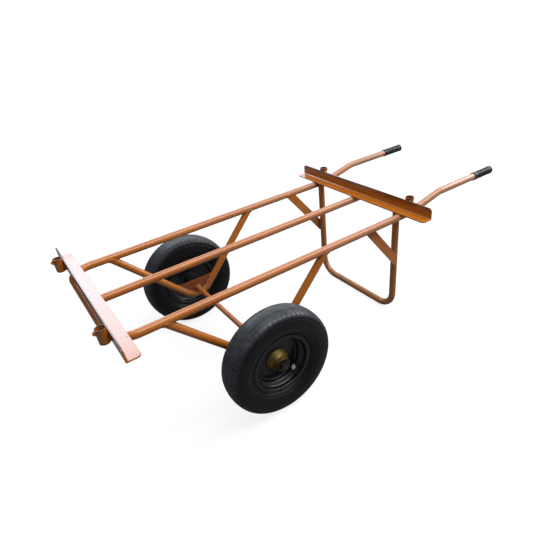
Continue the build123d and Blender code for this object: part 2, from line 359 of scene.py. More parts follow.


# where the rails are painted paler as a painted highlight, and where angles and sockets get painted shade
shadeAndSheenPlaces = dict(railStart=0.1, angleFoot=0.008, socketMouth=0.024)
railSheenRun = (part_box("middle_rail")[0][0] + shadeAndSheenPlaces["railStart"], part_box("grip_left")[1][0])
angleRise = (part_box("rear_angle")[0][2] + shadeAndSheenPlaces["angleFoot"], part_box("rear_angle")[1][2])
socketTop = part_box("socket_rear_left")[1][2]
socketRise = (socketTop - shadeAndSheenPlaces["socketMouth"], socketTop)
# painted shade: the gussets get a darker copy of the frame paint
shadedGussetSettings = dict(paintSettings, base=(0.3, 0.068, 0.004, 1), deep=(0.23, 0.048, 0.003, 1),
                      pale=(0.34, 0.09, 0.012, 1), dust=(0.1, 0.038, 0.014, 1))
angleSettings = dict(paintSettings, roughness=0.16, coat=0.35, coatRough=0.06, specular=0.85,
                     scuff=0.5, chips=0.69)
beadSettings = dict(paintSettings, roughness=0.38, coat=0.3, specular=0.5, scuff=0.1, chips=0.74)

paint = makePaint("framePaint", paintSettings)
# the rails carry a painted highlight, paler towards the handles
railPaint = makePaint("railPaint", paintSettings, sheenRun=railSheenRun)
# the gussets are painted darker: painted shade
gussetPaint = makePaint("gussetPaint", shadedGussetSettings)
# the angles and sockets are painted darker towards their tops: painted shade
anglePaint = makePaint("anglePaint", angleSettings, shadeAndWornLip=angleRise)
socketPaint = makePaint("socketPaint", paintSettings, shadeAndWornLip=socketRise)
weldPaint = makePaint("weldPaint", beadSettings)
axleFinish = makeAxlePaint("axleFinish", axleSettings)
tyreRubber = makeRubber("tyreRubber", rubberSettings)
gripRubber = makeRubber("gripRubber", gripFinish)
metals = {name: makeMetal(name, s) for name, s in metalSettings.items()}
hubFinish = makeMetal("hubFinish", hubSettings, metalSettings["rimBlack"])
print("finishes made")


# nodes that keep their CAD mesh; the others are replaced by pieces below
nodeFinish = {"frame_tube": railPaint, "middle_rail": railPaint, "axle": axleFinish}
for side in sides:
    nodeFinish["spacer_" + side] = metals["oiledSteel"]
    nodeFinish["bush_inner_" + side] = metals["bushNylon"]
    nodeFinish["bush_outer_" + side] = metals["bushNylon"]
for node, piece in cadNodes.items():
    for slot in piece.material_slots:
        slot.material = nodeFinish.get(node, paint)
print("finishes put on the nodes")


# meshes become pieces that ride on a body
def addPiece(name, mesh, mat, body, slotName, stands=None, crease=35.0):
    mesh.materials.append(mat)
    mesh.shade_smooth()
    mesh.set_sharp_from_angle(angle=math.radians(crease))
    piece = addObject(name, mesh)
    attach(piece, body)
    if stands:
        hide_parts(stands)


def turnsOf(count):
    return [2 * math.pi * i / count for i in range(count)]


# joins closed sections of (radius, along), each at its own angle about a line
def ringedMesh(name, rings, origin, axis):
    axis = Vector(axis).normalized()
    aside = axis.orthogonal().normalized()
    other = axis.cross(aside)
    build = bmesh.new()
    loops = []
    for angle, section in rings:
        spoke = aside * math.cos(angle) + other * math.sin(angle)
        points = [Vector(origin) + spoke * radius + axis * along for radius, along in section]
        loops.append([build.verts.new(point) for point in points])
    for i, loop in enumerate(loops):
        ahead = loops[(i + 1) % len(loops)]
        for k in range(len(loop)):
            j = (k + 1) % len(loop)
            build.faces.new((loop[k], loop[j], ahead[j], ahead[k]))
    bmesh.ops.recalc_face_normals(build, faces=build.faces)
    mesh = bpy.data.meshes.new(name)
    build.to_mesh(mesh)
    build.free()
    return mesh


# turns one closed section about a line
def turnedMesh(name, section, origin, axis, segments):
    return ringedMesh(name, [(angle, section) for angle in turnsOf(segments)], origin, axis)


def turnedPiece(name, section, origin, axis, segments, *finish):
    addPiece(name, turnedMesh(name, section, origin, axis, segments), *finish)


# rounds the corners of a section given as (radius, along, rounding)
def rounded(corners, steps=4, most=0.48):
    out = []
    for i, (radius, along, rounding) in enumerate(corners):
        here = Vector((radius, along))
        back = Vector(corners[i - 1][:2]) - here
        ahead = Vector(corners[(i + 1) % len(corners)][:2]) - here
        reach = min(rounding, back.length * most, ahead.length * most)
        if reach <= 0:
            out.append(here)
            continue
        enter = here + back.normalized() * reach
        leave = here + ahead.normalized() * reach
        for k in range(steps + 1):
            t = k / steps
            out.append(enter * (1 - t) ** 2 + here * 2 * t * (1 - t) + leave * t * t)
    return [(point.x, point.y) for point in out]


# tyre: rounded crown and walls, ring grooves in the tread and raised rings on the walls
# outline, bead and cavity are shares of the depth above the flange and of the half width
tyreSettings = dict(
    outline=((1.0, 0), (0.995, 0.22), (0.955, 0.6), (0.875, 0.84), (0.725, 0.955), (0.495, 1.0),
             (0.265, 0.935), (0.07, 0.75), (0.012, 0.635)),
    bead=((0.012, 0.92), (-0.13, 0.92), (-0.13, 0.5)), cavity=((0.27, 0.8), (0.68, 0.8), (0.86, 0.35)),
    treadFrom=0.8, bandEdge=0.003,
    treadGrooves=((0.0, 0.004, 0.0028), (0.015, 0.004, 0.0028), (0.0295, 0.0036, 0.0022)),
    wallRings=((0.178, 0.0042, -0.0013), (0.15, 0.016, 0.0007), (0.129, 0.0036, 0.001)),
    sipeBand=(0.032, 0.0455), sipeDepth=0.0017, sipes=66, sipeTurns=(0.0, 0.4, 0.46, 0.54, 0.6),
    sipeCut=(2, 3), samples=11, crease=30)


def smoothLine(points, samples):
    out = []
    last = len(points) - 1
    for i in range(last):
        a, b, c, d = (Vector(points[max(0, min(last, i + k))]) for k in (-1, 0, 1, 2))
        for k in range(samples):
            t = k / samples
            point = 2 * b + (c - a) * t
            point = point + (2 * a - 5 * b + 4 * c - d) * t * t
            point = point + (3 * b - a - 3 * c + d) * t ** 3
            out.append(0.5 * point)
    out.append(Vector(points[last]))
    return out


def bandsAt(place, bands, edge):
    total = 0.0
    for middle, width, height in bands:
        away = abs(place - middle) - width / 2
        total += height * max(0.0, min(1.0, 0.5 - away / edge))
    return total


def tyreSection(s, cut):
    depth = tyreR - flangeR
    sipeFrom, sipeTo = s["sipeBand"]
    ends = [(flangeR + depth * up, tyreHalf * out) for up, out in s["outline"]]
    half = smoothLine(ends, s["samples"])
    shaped = []
    for i, here in enumerate(half):
        run = half[min(i + 1, len(half) - 1)] - half[max(i - 1, 0)]
        outward = Vector((run.y, -run.x)).normalized()
        if here.x > flangeR + depth * s["treadFrom"]:
            lift = -bandsAt(here.y, s["treadGrooves"], s["bandEdge"])
            if cut and sipeFrom < here.y < sipeTo:
                lift -= s["sipeDepth"]
        else:
            lift = bandsAt(here.x, s["wallRings"], s["bandEdge"])
        point = here + outward * lift
        shaped.append((min(point.x, tyreR), max(0.0, min(point.y, tyreHalf))))
    bead = [(flangeR + depth * up, rimHalf * out) for up, out in s["bead"]]
    cavity = [(flangeR + depth * up, tyreHalf * out) for up, out in s["cavity"]]
    right = shaped + bead + cavity
    left = [(radius, -along) for radius, along in reversed(right)]
    return left[:-1] + right


def makeTyres(s):
    plain = tyreSection(s, False)
    sipe = tyreSection(s, True)
    rings = []
    for i in range(s["sipes"]):
        for k, share in enumerate(s["sipeTurns"]):
            rings.append((2 * math.pi * (i + share) / s["sipes"], sipe if k in s["sipeCut"] else plain))
    for side, sign in sides.items():
        node = "tyre_" + side
        mesh = ringedMesh(node + "_ribbed", rings, (axleX, sign * wheelY, axleZ), (0, sign, 0))
        addPiece(node + "_ribbed", mesh, tyreRubber, "wheel_" + side, "tyre", node, s["crease"])


makeTyres(tyreSettings)
print("tyres made")

# pressed rim with a rolled lip, a deep bowl and a dished disc
rimSettings = dict(
    wall=0.003, seatDrop=0.0114, wellDrop=0.029, seatEnd=0.45, wellEnd=0.25, disc=0.004, discPlace=-0.008,
    dish=0.3, discSpread=1.8, lipRound=0.0014, seatRound=0.003, wellRound=0.006, mouthRound=0.005,
    insideRound=0.007, bowlRound=0.008, discRound=0.012, segments=144, crease=40)
discMiddle = rimSettings["discPlace"] * rimSettings["dish"]  # where the disc meets the hub


def rimSection(s):
    seat = flangeR - s["seatDrop"]
    well = flangeR - s["wellDrop"]
    wall = s["wall"]
    seatY = rimHalf * s["seatEnd"]
    wellY = rimHalf * s["wellEnd"]
    disc = s["disc"] / 2
    spread = hubR * s["discSpread"]
    lip = s["lipRound"]
    pressed = s["wellRound"]
    inside = s["insideRound"]
    return rounded([
        (flangeR, rimHalf, lip), (flangeR, rimHalf - wall, lip), (seat, rimHalf - wall, s["seatRound"]),
        (seat, seatY, pressed), (well + wall, wellY, pressed), (well + wall, -wellY, pressed),
        (seat, -seatY, pressed), (seat, wall - rimHalf, s["seatRound"]), (flangeR, wall - rimHalf, lip),
        (flangeR, -rimHalf, lip), (seat - wall, -rimHalf, s["mouthRound"]),
        (seat - wall, -seatY - wall, inside), (well, s["discPlace"] - disc, pressed),
        (spread, discMiddle - disc, s["discRound"]),
        (hubR, discMiddle - disc, 0), (hubR, discMiddle + disc, 0),
        (spread, discMiddle + disc, s["discRound"]), (well, s["discPlace"] + disc, s["bowlRound"]),
        (well, wellY, inside), (seat - wall, seatY + wall, inside), (seat - wall, rimHalf, s["mouthRound"])])


def makeRims(s):
    section = rimSection(s)
    for side, sign in sides.items():
        node = "rim_" + side
        centre = (axleX, sign * wheelY, axleZ)
        turnedPiece(node + "_pressed", section, centre, (0, sign, 0), s["segments"],
                    metals["rimBlack"], "wheel_" + side, "rim", node, s["crease"])


makeRims(rimSettings)
print("rims made")

# hub tube, washer and chamfered nut at each wheel
endSettings = dict(
    hubChamfer=0.0016, boreChamfer=0.4, shelf=0.0015, rootLip=0.003, rootLength=0.023, rootRound=0.009,
    lipRound=0.002, footRound=0.0004, washerEdge=0.0006, segments=72, crease=20)
nutSettings = dict(face=0.97, slope=31.05)


def nutMesh(name, across, bore, low, high, origin, axis, segments):
    flat = across / 2
    face = flat * nutSettings["face"]
    sixth = math.pi / 3
    rings = []
    for angle in turnsOf(segments):
        turn = (angle + sixth / 2) % sixth - sixth / 2
        reach = flat / math.cos(turn)
        drop = (reach - face) * math.tan(math.radians(nutSettings["slope"]))
        ring = [(bore, low), (bore, high), (face, high), (reach, high - drop), (reach, low), (face, low)]
        rings.append((angle, ring))
    return ringedMesh(name, rings, origin, axis)


def hubSection(s):
    bushR = spanOf("bush_inner_left").z / 2
    shelfY = hubHalf - spanOf("bush_inner_left").y
    shelfR = bushR - s["shelf"]
    cut = s["hubChamfer"]
    boreCut = cut * s["boreChamfer"]
    rootY = discMiddle + rimSettings["disc"] / 2
    return rounded([
        (hubR, hubHalf, cut), (hubR, rootY + s["rootLength"], s["rootRound"]),
        (hubRootR, rootY + s["rootLip"], s["lipRound"]), (hubRootR, rootY, s["footRound"]),
        (hubR, rootY, 0), (hubR, -hubHalf, cut), (bushR, -hubHalf, boreCut), (bushR, -shelfY, 0),
        (shelfR, -shelfY, 0), (shelfR, shelfY, 0), (bushR, shelfY, 0), (bushR, hubHalf, boreCut)])


def makeAxleEnds(s):
    hub = hubSection(s)
    count = s["segments"]
    steel = metals["oiledSteel"]
    for side, sign in sides.items():
        way = (0, sign, 0)
        node = "hub_" + side
        turnedPiece(node + "_tube", hub, (axleX, sign * wheelY, axleZ), way, count,
                    hubFinish, "wheel_" + side, "hub", node)
        node = "washer_" + side
        outer = spanOf(node).z / 2
        half = spanOf(node).y / 2
        section = rounded([(outer, half, s["washerEdge"]), (outer, -half, s["washerEdge"]),
                           (axleR, -half, 0), (axleR, half, 0)])
        turnedPiece(node + "_flat", section, middleOf(node), way, count, steel, "frame", "zinc", node)
        node = "axle_nut_" + side
        half = spanOf(node).y / 2
        across = min(spanOf(node).x, spanOf(node).z)
        mesh = nutMesh(node + "_hex", across, axleR, -half, half, middleOf(node), way, count)
        addPiece(node + "_hex", mesh, steel, "frame", "zinc", node, s["crease"])


makeAxleEnds(endSettings)
print("hubs and axle ends made")

# hand grips with a collar at each end, shallow rings and a domed end with a small vent
gripSettings = dict(
    collar=0.0016, collarLength=0.008, collarEdge=0.0015, collarBack=0.0018, neck=0.011, neckRound=0.002,
    tailLength=0.014, ringDepth=0.0009, ringPitch=0.0052, ringStep=0.0012, ringRound=0.0008, ringFirst=0.016,
    ringLast=0.098, dome=0.007, ventR=0.0024, ventTaper=0.0002, ventDepth=0.0015, ventRound=0.0006,
    core=0.0002, wall=0.004, segments=56, crease=30, steps=3)


def gripSection(s, gripR, length):
    body = gripR - s["collar"] * 0.5
    groove = body - s["ringDepth"]
    neck = s["neckRound"]
    corners = [(tubeR, 0.0, 0), (gripR, 0.0, s["collarEdge"]), (gripR, s["collarLength"], s["collarBack"]),
               (body, s["neck"], neck)]
    for i in range(int((s["ringLast"] - s["ringFirst"]) / s["ringPitch"])):
        at = s["ringFirst"] + i * s["ringPitch"]
        for k, radius in enumerate((body, groove, groove, body)):
            corners.append((radius, at + k * s["ringStep"], s["ringRound"]))
    vent = length - s["ventDepth"]
    end = length - s["wall"]
    corners += [(body, length - s["tailLength"], neck), (gripR, length - s["neck"], neck),
                (gripR, length, s["dome"]), (s["ventR"], length, s["ventRound"]),
                (s["ventR"] - s["ventTaper"], vent, 0), (s["core"], vent, 0),
                (s["core"], end, 0), (tubeR, end, 0)]
    return rounded(corners, s["steps"])


def makeGrips(s):
    for side in sides:
        node = "grip_" + side
        start = middleOf(node)
        start.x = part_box(node)[0][0]
        section = gripSection(s, spanOf(node).z / 2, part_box(node)[1][0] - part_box(node)[0][0])
        turnedPiece(node + "_moulded", section, start, (1, 0, 0), s["segments"],
                    gripRubber, "frame", "grip", node, s["crease"])


makeGrips(gripSettings)
print("grips made")

# rolled and cut steel gets softened edges
softSettings = dict(angles=0.0009, plates=0.0006, sockets=0.0007, corner=32.0, merge=1e-6,
                    flat=0.3, crease=16)


def soften(node, width, mat, cuts=()):
    s = softSettings
    build = bmesh.new()
    build.from_mesh(cadNodes[node].data)
    bmesh.ops.remove_doubles(build, verts=build.verts, dist=s["merge"])
    for place, outward in cuts:
        parts = build.verts[:] + build.edges[:] + build.faces[:]
        bmesh.ops.bisect_plane(build, geom=parts, plane_co=place, plane_no=outward, clear_outer=True)
        bmesh.ops.holes_fill(build, edges=[edge for edge in build.edges if edge.is_boundary])
    flat = math.radians(s["flat"])
    bmesh.ops.dissolve_limit(build, angle_limit=flat, verts=build.verts, edges=build.edges)
    bmesh.ops.recalc_face_normals(build, faces=build.faces)
    turn = math.radians(s["corner"])
    sharp = [edge for edge in build.edges if len(edge.link_faces) == 2 and edge.calc_face_angle(0) > turn]
    bmesh.ops.bevel(build, geom=sharp, offset=width, offset_type="OFFSET", segments=2, profile=0.5,
                    affect="EDGES", clamp_overlap=True)
    mesh = bpy.data.meshes.new(node + "_soft")
    build.to_mesh(mesh)
    build.free()
    addPiece(node + "_soft", mesh, mat, "frame", "paint", node, s["crease"])


# the braces end on the stand's legs and are trimmed to the bar's width; places from the leg and the rail
braceSettings = dict(top=(-0.148, -0.0215), low=(-0.046, -0.1485), width=0.042, trim=0.006, tail=-0.0095)
braceRun = Vector(braceSettings["low"]) - Vector(braceSettings["top"])
braceSlope = -braceRun.y / braceRun.x
braceStretch = math.hypot(1, braceSlope)


def braceCuts(s):
    upper = railZ + s["top"][1] + (s["width"] / 2 - s["trim"]) * braceStretch
    return [((legX + s["tail"], 0, 0), (1, 0, 0)), ((legX + s["top"][0], 0, upper), (braceSlope, 0, 1))]


for node in cadNodes:
    if node.endswith("_angle"):
        soften(node, softSettings["angles"], anglePaint)
    elif node.startswith("gusset_"):
        soften(node, softSettings["plates"], gussetPaint)
    elif node.startswith("brace_"):
        soften(node, softSettings["plates"], paint, braceCuts(braceSettings))
    elif node.startswith("socket_"):
        soften(node, softSettings["sockets"], socketPaint)
print("edges softened")


# node trees that repeat a small shape along a path or over points
inputKinds = dict(Pitch="Float", Radius="Float", Uneven="Float", Shape="Object", Least="Float",
                  Most="Float", Seed="Int")


def startTree(name, *labels):
    tree = bpy.data.node_groups.new(name, "GeometryNodeTree")
    tree.interface.new_socket("Geometry", in_out="INPUT", socket_type="NodeSocketGeometry")
    ids = {}
    for label in labels:
        kind = "NodeSocket" + inputKinds[label]
        ids[label] = tree.interface.new_socket(label, in_out="INPUT", socket_type=kind).identifier
    tree.interface.new_socket("Geometry", in_out="OUTPUT", socket_type="NodeSocketGeometry")
    return tree, ids, addNode(tree, "NodeGroupInput").outputs


def endTree(tree, instances, mat):
    real = addNode(tree, "GeometryNodeRealizeInstances", {"Geometry": instances}).outputs[0]
    smooth = addNode(tree, "GeometryNodeSetShadeSmooth", {"Geometry": real}).outputs[0]
    worn = addNode(tree, "GeometryNodeSetMaterial", {"Geometry": smooth, "Material": mat}).outputs[0]
    addNode(tree, "NodeGroupOutput", {0: worn})


def randomOf(tree, low, high, seed):
    node = addNode(tree, "FunctionNodeRandomValue", {2: low, 3: high, "Seed": seed}, data_type="FLOAT")
    return node.outputs[1]


def turnTo(tree, direction, axis):
    return addNode(tree, "FunctionNodeAlignRotationToVector", {"Vector": direction}, axis=axis).outputs[0]


def layOn(tree, points, shape, turn, size):
    inputs = {"Points": points, "Instance": shape, "Rotation": turn, "Scale": size}
    return addNode(tree, "GeometryNodeInstanceOnPoints", inputs).outputs[0]


def weldTree(name, mat, lap=0.95):
    tree, ids, given = startTree(name, "Pitch", "Radius", "Uneven", "Seed")
    path = addNode(tree, "GeometryNodeMeshToCurve", {"Mesh": given["Geometry"]}).outputs[0]
    spacing = {"Curve": path, "Length": given["Pitch"]}
    path = addNode(tree, "GeometryNodeResampleCurve", spacing, mode="LENGTH").outputs[0]
    ripple = addNode(tree, "GeometryNodeMeshUVSphere", {"Segments": 8, "Rings": 4, "Radius": 1.0}).outputs[0]
    turn = turnTo(tree, addNode(tree, "GeometryNodeInputTangent").outputs[0], "X")
    least = mathOf(tree, "SUBTRACT", 1.0, given["Uneven"], clamp=False)
    most = mathOf(tree, "ADD", 1.0, given["Uneven"], clamp=False)
    vary = randomOf(tree, least, most, given["Seed"])
    wide = mathOf(tree, "MULTIPLY", given["Radius"], vary, clamp=False)
    long = mathOf(tree, "MULTIPLY", given["Pitch"], lap, clamp=False)
    size = addNode(tree, "ShaderNodeCombineXYZ", {0: long, 1: wide, 2: wide}).outputs[0]
    endTree(tree, layOn(tree, path, ripple, turn, size), mat)
    return tree, ids


def standingTree(name, mat):
    tree, ids, given = startTree(name, "Shape", "Least", "Most", "Seed")
    named = {"Name": "facing"}
    facing = addNode(tree, "GeometryNodeInputNamedAttribute", named, data_type="FLOAT_VECTOR").outputs[0]
    turn = turnTo(tree, facing, "Z")
    shape = addNode(tree, "GeometryNodeObjectInfo", {"Object": given["Shape"]}).outputs["Geometry"]
    size = randomOf(tree, given["Least"], given["Most"], given["Seed"])
    endTree(tree, layOn(tree, given["Geometry"], shape, turn, size), mat)
    return tree, ids


def growPiece(name, mesh, tree, ids, values, body):
    piece = addObject(name, mesh)
    grow = piece.modifiers.new("grow", "NODES")
    grow.node_group = tree
    for label, value in values.items():
        grow[ids[label]] = value
    bpy.context.view_layer.update()
    graph = bpy.context.evaluated_depsgraph_get()
    grown = bpy.data.meshes.new_from_object(piece.evaluated_get(graph), depsgraph=graph)
    piece.modifiers.clear()
    piece.data = grown
    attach(piece, body)
    print(name, "faces:", len(grown.polygons))


def pathMesh(name, paths):
    points = []
    edges = []
    for path, closed in paths:
        first = len(points)
        points.extend(path)
        edges.extend((first + i, first + i + 1) for i in range(len(path) - 1))
        if closed:
            edges.append((first + len(path) - 1, first))
    mesh = bpy.data.meshes.new(name)
    mesh.from_pydata(points, edges, [])
    return mesh


# stands a small mesh on each place, turned to its facing
def standPieces(name, treeName, small, places, mat, least, most, seed, body):
    mesh = bpy.data.meshes.new(name)
    mesh.from_pydata([place for place, facing in places], [], [])
    facings = mesh.attributes.new("facing", "FLOAT_VECTOR", "POINT")
    for i, (place, facing) in enumerate(places):
        facings.data[i].vector = facing
    pattern = addObject(small.name, small)
    tree, ids = standingTree(treeName, mat)
    values = {"Shape": pattern, "Least": least, "Most": most, "Seed": seed}
    growPiece(name, mesh, tree, ids, values, body)
    bpy.data.objects.remove(pattern)


# weld beads where the real frame is welded; asides are the two beads along a tube's top or side
weldSettings = dict(
    pitch=0.0024, radius=0.0029, uneven=0.2, seed=7, hubSeed=11, asides=(-0.0062, 0.0062), sink=0.0008,
    carrierHalf=0.308, carrierBend=0.075, saddleSteps=48, bendSteps=12, plateGap=0.0012,
    axleGap=0.0006, axleSteps=28, hubGap=0.0005, hubSteps=60, rearStart=0.002, rearEnd=0.004, frontEnd=0.001,
    stitches=(-0.15, -0.075, 0.0, 0.075, 0.15), stitchHalf=0.014, stitchOut=0.0066, stitchSink=0.001,
    socketGap=0.0007, socketRun=(0.002, 0.034), legSink=0.0012, legGap=0.0004, legSteps=36, legRun=0.009,
    tailInsets=(0.0008, 0.0036), tailSink=0.0022, braceEnd=0.002, braceGap=0.0006)


def ringPath(centre, axis, radius, steps):
    axis = Vector(axis).normalized()
    aside = axis.orthogonal().normalized()
    other = axis.cross(aside)
    spokes = [aside * math.cos(t) + other * math.sin(t) for t in turnsOf(steps)]
    return [Vector(centre) + spoke * radius for spoke in spokes], True


def linePath(start, end):
    return [Vector(start), Vector(end)], False


def levelPath(fromX, toX, y, z):
    return linePath((fromX, y, z), (toX, y, z))


def upPath(x, y, fromZ, toZ):
    return linePath((x, y, fromZ), (x, y, toZ))


def carrierWelds(s):
    paths = []
    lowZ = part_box("axle_carrier_left")[0][2] + tubeR
    bend = s["carrierBend"]
    half = s["carrierHalf"]
    rise = railZ - lowZ - bend
    lean = math.atan2(rise, half) + math.asin(bend / math.hypot(half, rise))
    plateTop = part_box("gusset_left")[1][2]
    plateY = gussetHalf + s["plateGap"]
    inner = bend - math.sqrt(tubeR ** 2 - plateY ** 2)
    for sign in sides.values():
        for end in (-1, 1):
            top = Vector((axleX + end * half, sign * railY, railZ))
            down = Vector((-end * math.cos(lean), 0, -math.sin(lean)))
            square = Vector((-down.z, 0, down.x))
            saddle = []
            for t in turnsOf(s["saddleSteps"]):
                drop = (-tubeR * abs(math.cos(t)) - tubeR * math.cos(t) * square.z) / down.z
                out = Vector((0, tubeR * math.sin(t), 0))
                saddle.append(top + square * (tubeR * math.cos(t)) + out + down * drop)
            paths.append((saddle, True))
        for face in (-1, 1):
            y = sign * railY + face * plateY
            vee = []
            for i in range(-s["bendSteps"], s["bendSteps"] + 1):
                t = lean * i / s["bendSteps"]
                vee.append(Vector((axleX + inner * math.sin(t), y, lowZ + bend - inner * math.cos(t))))
            climb = (plateTop - vee[0].z) / math.sin(lean)
            if climb > 0:
                vee.insert(0, vee[0] + Vector((-math.cos(lean), 0, math.sin(lean))) * climb)
                vee.append(vee[-1] + Vector((math.cos(lean), 0, math.sin(lean))) * climb)
            paths.append((vee, False))
            paths.append(ringPath((axleX, y, axleZ), (0, 1, 0), axleR + s["axleGap"], s["axleSteps"]))
    return paths


def deckWelds(s):
    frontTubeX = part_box("frame_tube")[0][0] + tubeR
    bedZ = deckZ - s["sink"]
    saddle = []
    for t in turnsOf(s["saddleSteps"]):
        across = tubeR * math.cos(t)
        saddle.append(Vector((frontTubeX + abs(across), across, railZ + tubeR * math.sin(t))))
    paths = [(saddle, True)]
    for y in (-railY, 0, railY):
        for aside in s["asides"]:
            paths.append(levelPath(rearEdgeX + s["rearStart"], rearFaceX - s["rearEnd"], y + aside, bedZ))
    for aside in s["asides"]:
        paths.append(levelPath(frontTubeX + tubeR, frontEdgeX - s["frontEnd"], aside, bedZ))
    x = frontTubeX + s["stitchOut"]
    z = deckZ - s["stitchSink"]
    for y in s["stitches"]:
        paths.append(linePath((x, y - s["stitchHalf"], z), (x, y + s["stitchHalf"], z)))
    for end, x in (("front", frontFaceX - s["socketGap"]), ("rear", rearFaceX + s["socketGap"])):
        for side in sides:
            node = "socket_" + end + "_" + side
            low, high = (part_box(node)[0][2] + run for run in s["socketRun"])
            for aside in s["asides"]:
                paths.append(upPath(x, middleOf(node).y + aside, low, high))
    return paths


def standWelds(s, brace):
    paths = []
    fall = brace["width"] / 2 * braceStretch
    rise = (brace["width"] / 2 - brace["trim"]) * braceStretch
    middle = railZ + brace["top"][1] - braceSlope * (brace["tail"] - brace["top"][0])
    short = s["braceEnd"]
    for side, sign in sides.items():
        top = (legX, sign * legY, deckZ - s["legSink"])
        paths.append(ringPath(top, (0, 0, 1), tubeR + s["legGap"], s["legSteps"]))
        y = sign * (legY + tubeR - s["sink"])
        for aside in s["asides"]:
            paths.append(upPath(legX + aside, y, railZ - s["legRun"], railZ + s["legRun"]))
        for inset in s["tailInsets"]:
            x = legX + brace["tail"] + inset
            y = sign * (legY + tubeR - s["tailSink"] + inset * 0.5)
            paths.append(upPath(x, y, middle - fall + short, middle + rise - short))
        for away in (spanOf("brace_" + side).y + s["braceGap"], -s["braceGap"]):
            y = sign * (railY - tubeR + away)
            drop = math.sqrt(max(0.0, tubeR ** 2 - (tubeR - max(away, 0)) ** 2))
            mid = legX + brace["top"][0] + (brace["top"][1] + drop) / braceSlope
            fromX = mid - fall / braceSlope + short
            paths.append(levelPath(fromX, mid + rise / braceSlope - short, y, railZ - drop))
    return paths


def makeWelds(s):
    tree, ids = weldTree("weldBead", weldPaint)
    values = {"Pitch": s["pitch"], "Radius": s["radius"], "Uneven": s["uneven"], "Seed": s["seed"]}
    paths = carrierWelds(s) + deckWelds(s) + standWelds(s, braceSettings)
    growPiece("frame_welds", pathMesh("frame_welds", paths), tree, ids, values, "frame")
    tree, ids = weldTree("hubWeldBead", metals["rimBlack"])
    for side, sign in sides.items():
        rings = []
        for face, radius in ((-0.5, hubR), (0.5, hubRootR)):
            y = sign * (wheelY + discMiddle + rimSettings["disc"] * face)
            rings.append(ringPath((axleX, y, axleZ), (0, 1, 0), radius + s["hubGap"], s["hubSteps"]))
        name = "hub_welds_" + side
        seeded = dict(values, Seed=s["hubSeed"] + sign)
        growPiece(name, pathMesh(name, rings), tree, ids, seeded, "wheel_" + side)


makeWelds(weldSettings)
print("welds laid")

# clamp screw and its nut near the top of each socket
screwSettings = dict(
    across=0.012, nut=0.0052, shank=0.0036, proud=0.0022, sink=0.0012, shankSink=0.001, core=0.0001,
    shankShare=0.93, tipRound=0.0007, threads=2, threadFirst=0.0003, threadPitch=0.00095,
    threadRise=0.0004, threadRoot=0.9, belowTop=0.0105, nutSegments=36, segments=20, seed=3)


def makeScrews(s):
    origin = (0, 0, 0)
    up = (0, 0, 1)
    nut = nutMesh("clampScrew", s["across"], s["shank"], -s["sink"], s["nut"],
                  origin, up, s["nutSegments"])
    build = bmesh.new()
    build.from_mesh(nut)
    tip = s["nut"] + s["proud"]
    radius = s["shank"] * s["shankShare"]
    section = rounded([(s["core"], tip, 0), (radius, tip, s["tipRound"]),
                       (radius, -s["shankSink"], 0), (s["core"], -s["shankSink"], 0)], 2)
    build.from_mesh(turnedMesh("clampShank", section, origin, up, s["segments"]))
    root = s["shank"] * s["threadRoot"]
    for i in range(s["threads"]):
        at = s["nut"] + s["threadFirst"] + i * s["threadPitch"]
        ridge = [(root, at), (s["shank"], at + s["threadRise"]), (root, at + 2 * s["threadRise"])]
        build.from_mesh(turnedMesh("clampThread", ridge, origin, up, s["segments"]))
    build.to_mesh(nut)
    build.free()
    places = []
    for end, outward in (("front", -1), ("rear", 1)):
        for side in sides:
            node = "socket_" + end + "_" + side
            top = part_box(node)[1][2]
            middle = middleOf(node)
            places.append(((middle.x + outward * socketR, middle.y, top - s["belowTop"]), (outward, 0, 0)))
    standPieces("clamp_screws", "clampScrews", nut, places, weldPaint, 1.0, 1.0, s["seed"], "frame")


makeScrews(screwSettings)
print("clamp screws made")

# valve on each rim: a rubber stem with a pale grey cap, whose pale colour partly stands for a glint: painted
# highlight
valveSettings = dict(
    turn=-45.0, rootR=0.084, rootOut=0.004, tipR=0.052, tipOut=0.036, base=0.0098, baseHalf=0.003,
    neck=(0.78, 0.006), waist=(1.15, 0.016), stem=0.006, stemRound=0.001, core=0.0004, cap=0.0072,
    capLength=0.026, capLap=0.001, capSkirt=(0.9, 0.002), capEdge=0.0005, capTop=(0.72, 0.002),
    capRound=0.0012, segments=24)


def makeValves(s):
    angle = math.radians(s["turn"])
    spoke = Vector((math.cos(angle), 0, math.sin(angle)))
    core = s["core"]
    for side, sign in sides.items():
        centre = Vector((axleX, sign * wheelY, axleZ))
        root = centre + spoke * s["rootR"] + Vector((0, sign * s["rootOut"], 0))
        tip = centre + spoke * s["tipR"] + Vector((0, sign * s["tipOut"], 0))
        way = tip - root
        end = way.length
        start = end - s["capLength"]
        soft = s["stemRound"]
        rubber = rounded([
            (core, -s["baseHalf"], 0), (s["base"], -s["baseHalf"], 0), (s["base"], s["baseHalf"], soft),
            (s["base"] * s["neck"][0], s["neck"][1], soft), (s["stem"] * s["waist"][0], s["waist"][1], soft),
            (s["stem"], start, 0), (core, start, 0)])
        turnedPiece("valve_stem_" + side, rubber, root, way, s["segments"],
                    gripRubber, "wheel_" + side, "tyre")
        skirt = start - s["capLap"]
        cap = rounded([
            (core, skirt, 0), (s["cap"] * s["capSkirt"][0], skirt, s["capEdge"]),
            (s["cap"], start + s["capSkirt"][1], s["capEdge"]),
            (s["cap"], end - s["capTop"][1], s["capRound"]),
            (s["cap"] * s["capTop"][0], end, s["capRound"]), (core, end, 0)])
        turnedPiece("valve_cap_" + side, cap, root, way, s["segments"],
                    metals["valveGrey"], "wheel_" + side, "hub")


makeValves(valveSettings)
print("valves made")

# moulding nibs on the tyre walls, in rings of (share of depth, share of half width, count)
nibSettings = dict(
    rings=((0.725, 0.965, 22), (0.33, 0.97, 16)), radius=0.0006, tip=0.6, length=0.0022, sink=0.0008,
    core=0.0001, segments=6, stagger=0.37, upright=0.5, least=0.35, most=1.0, seed=21)


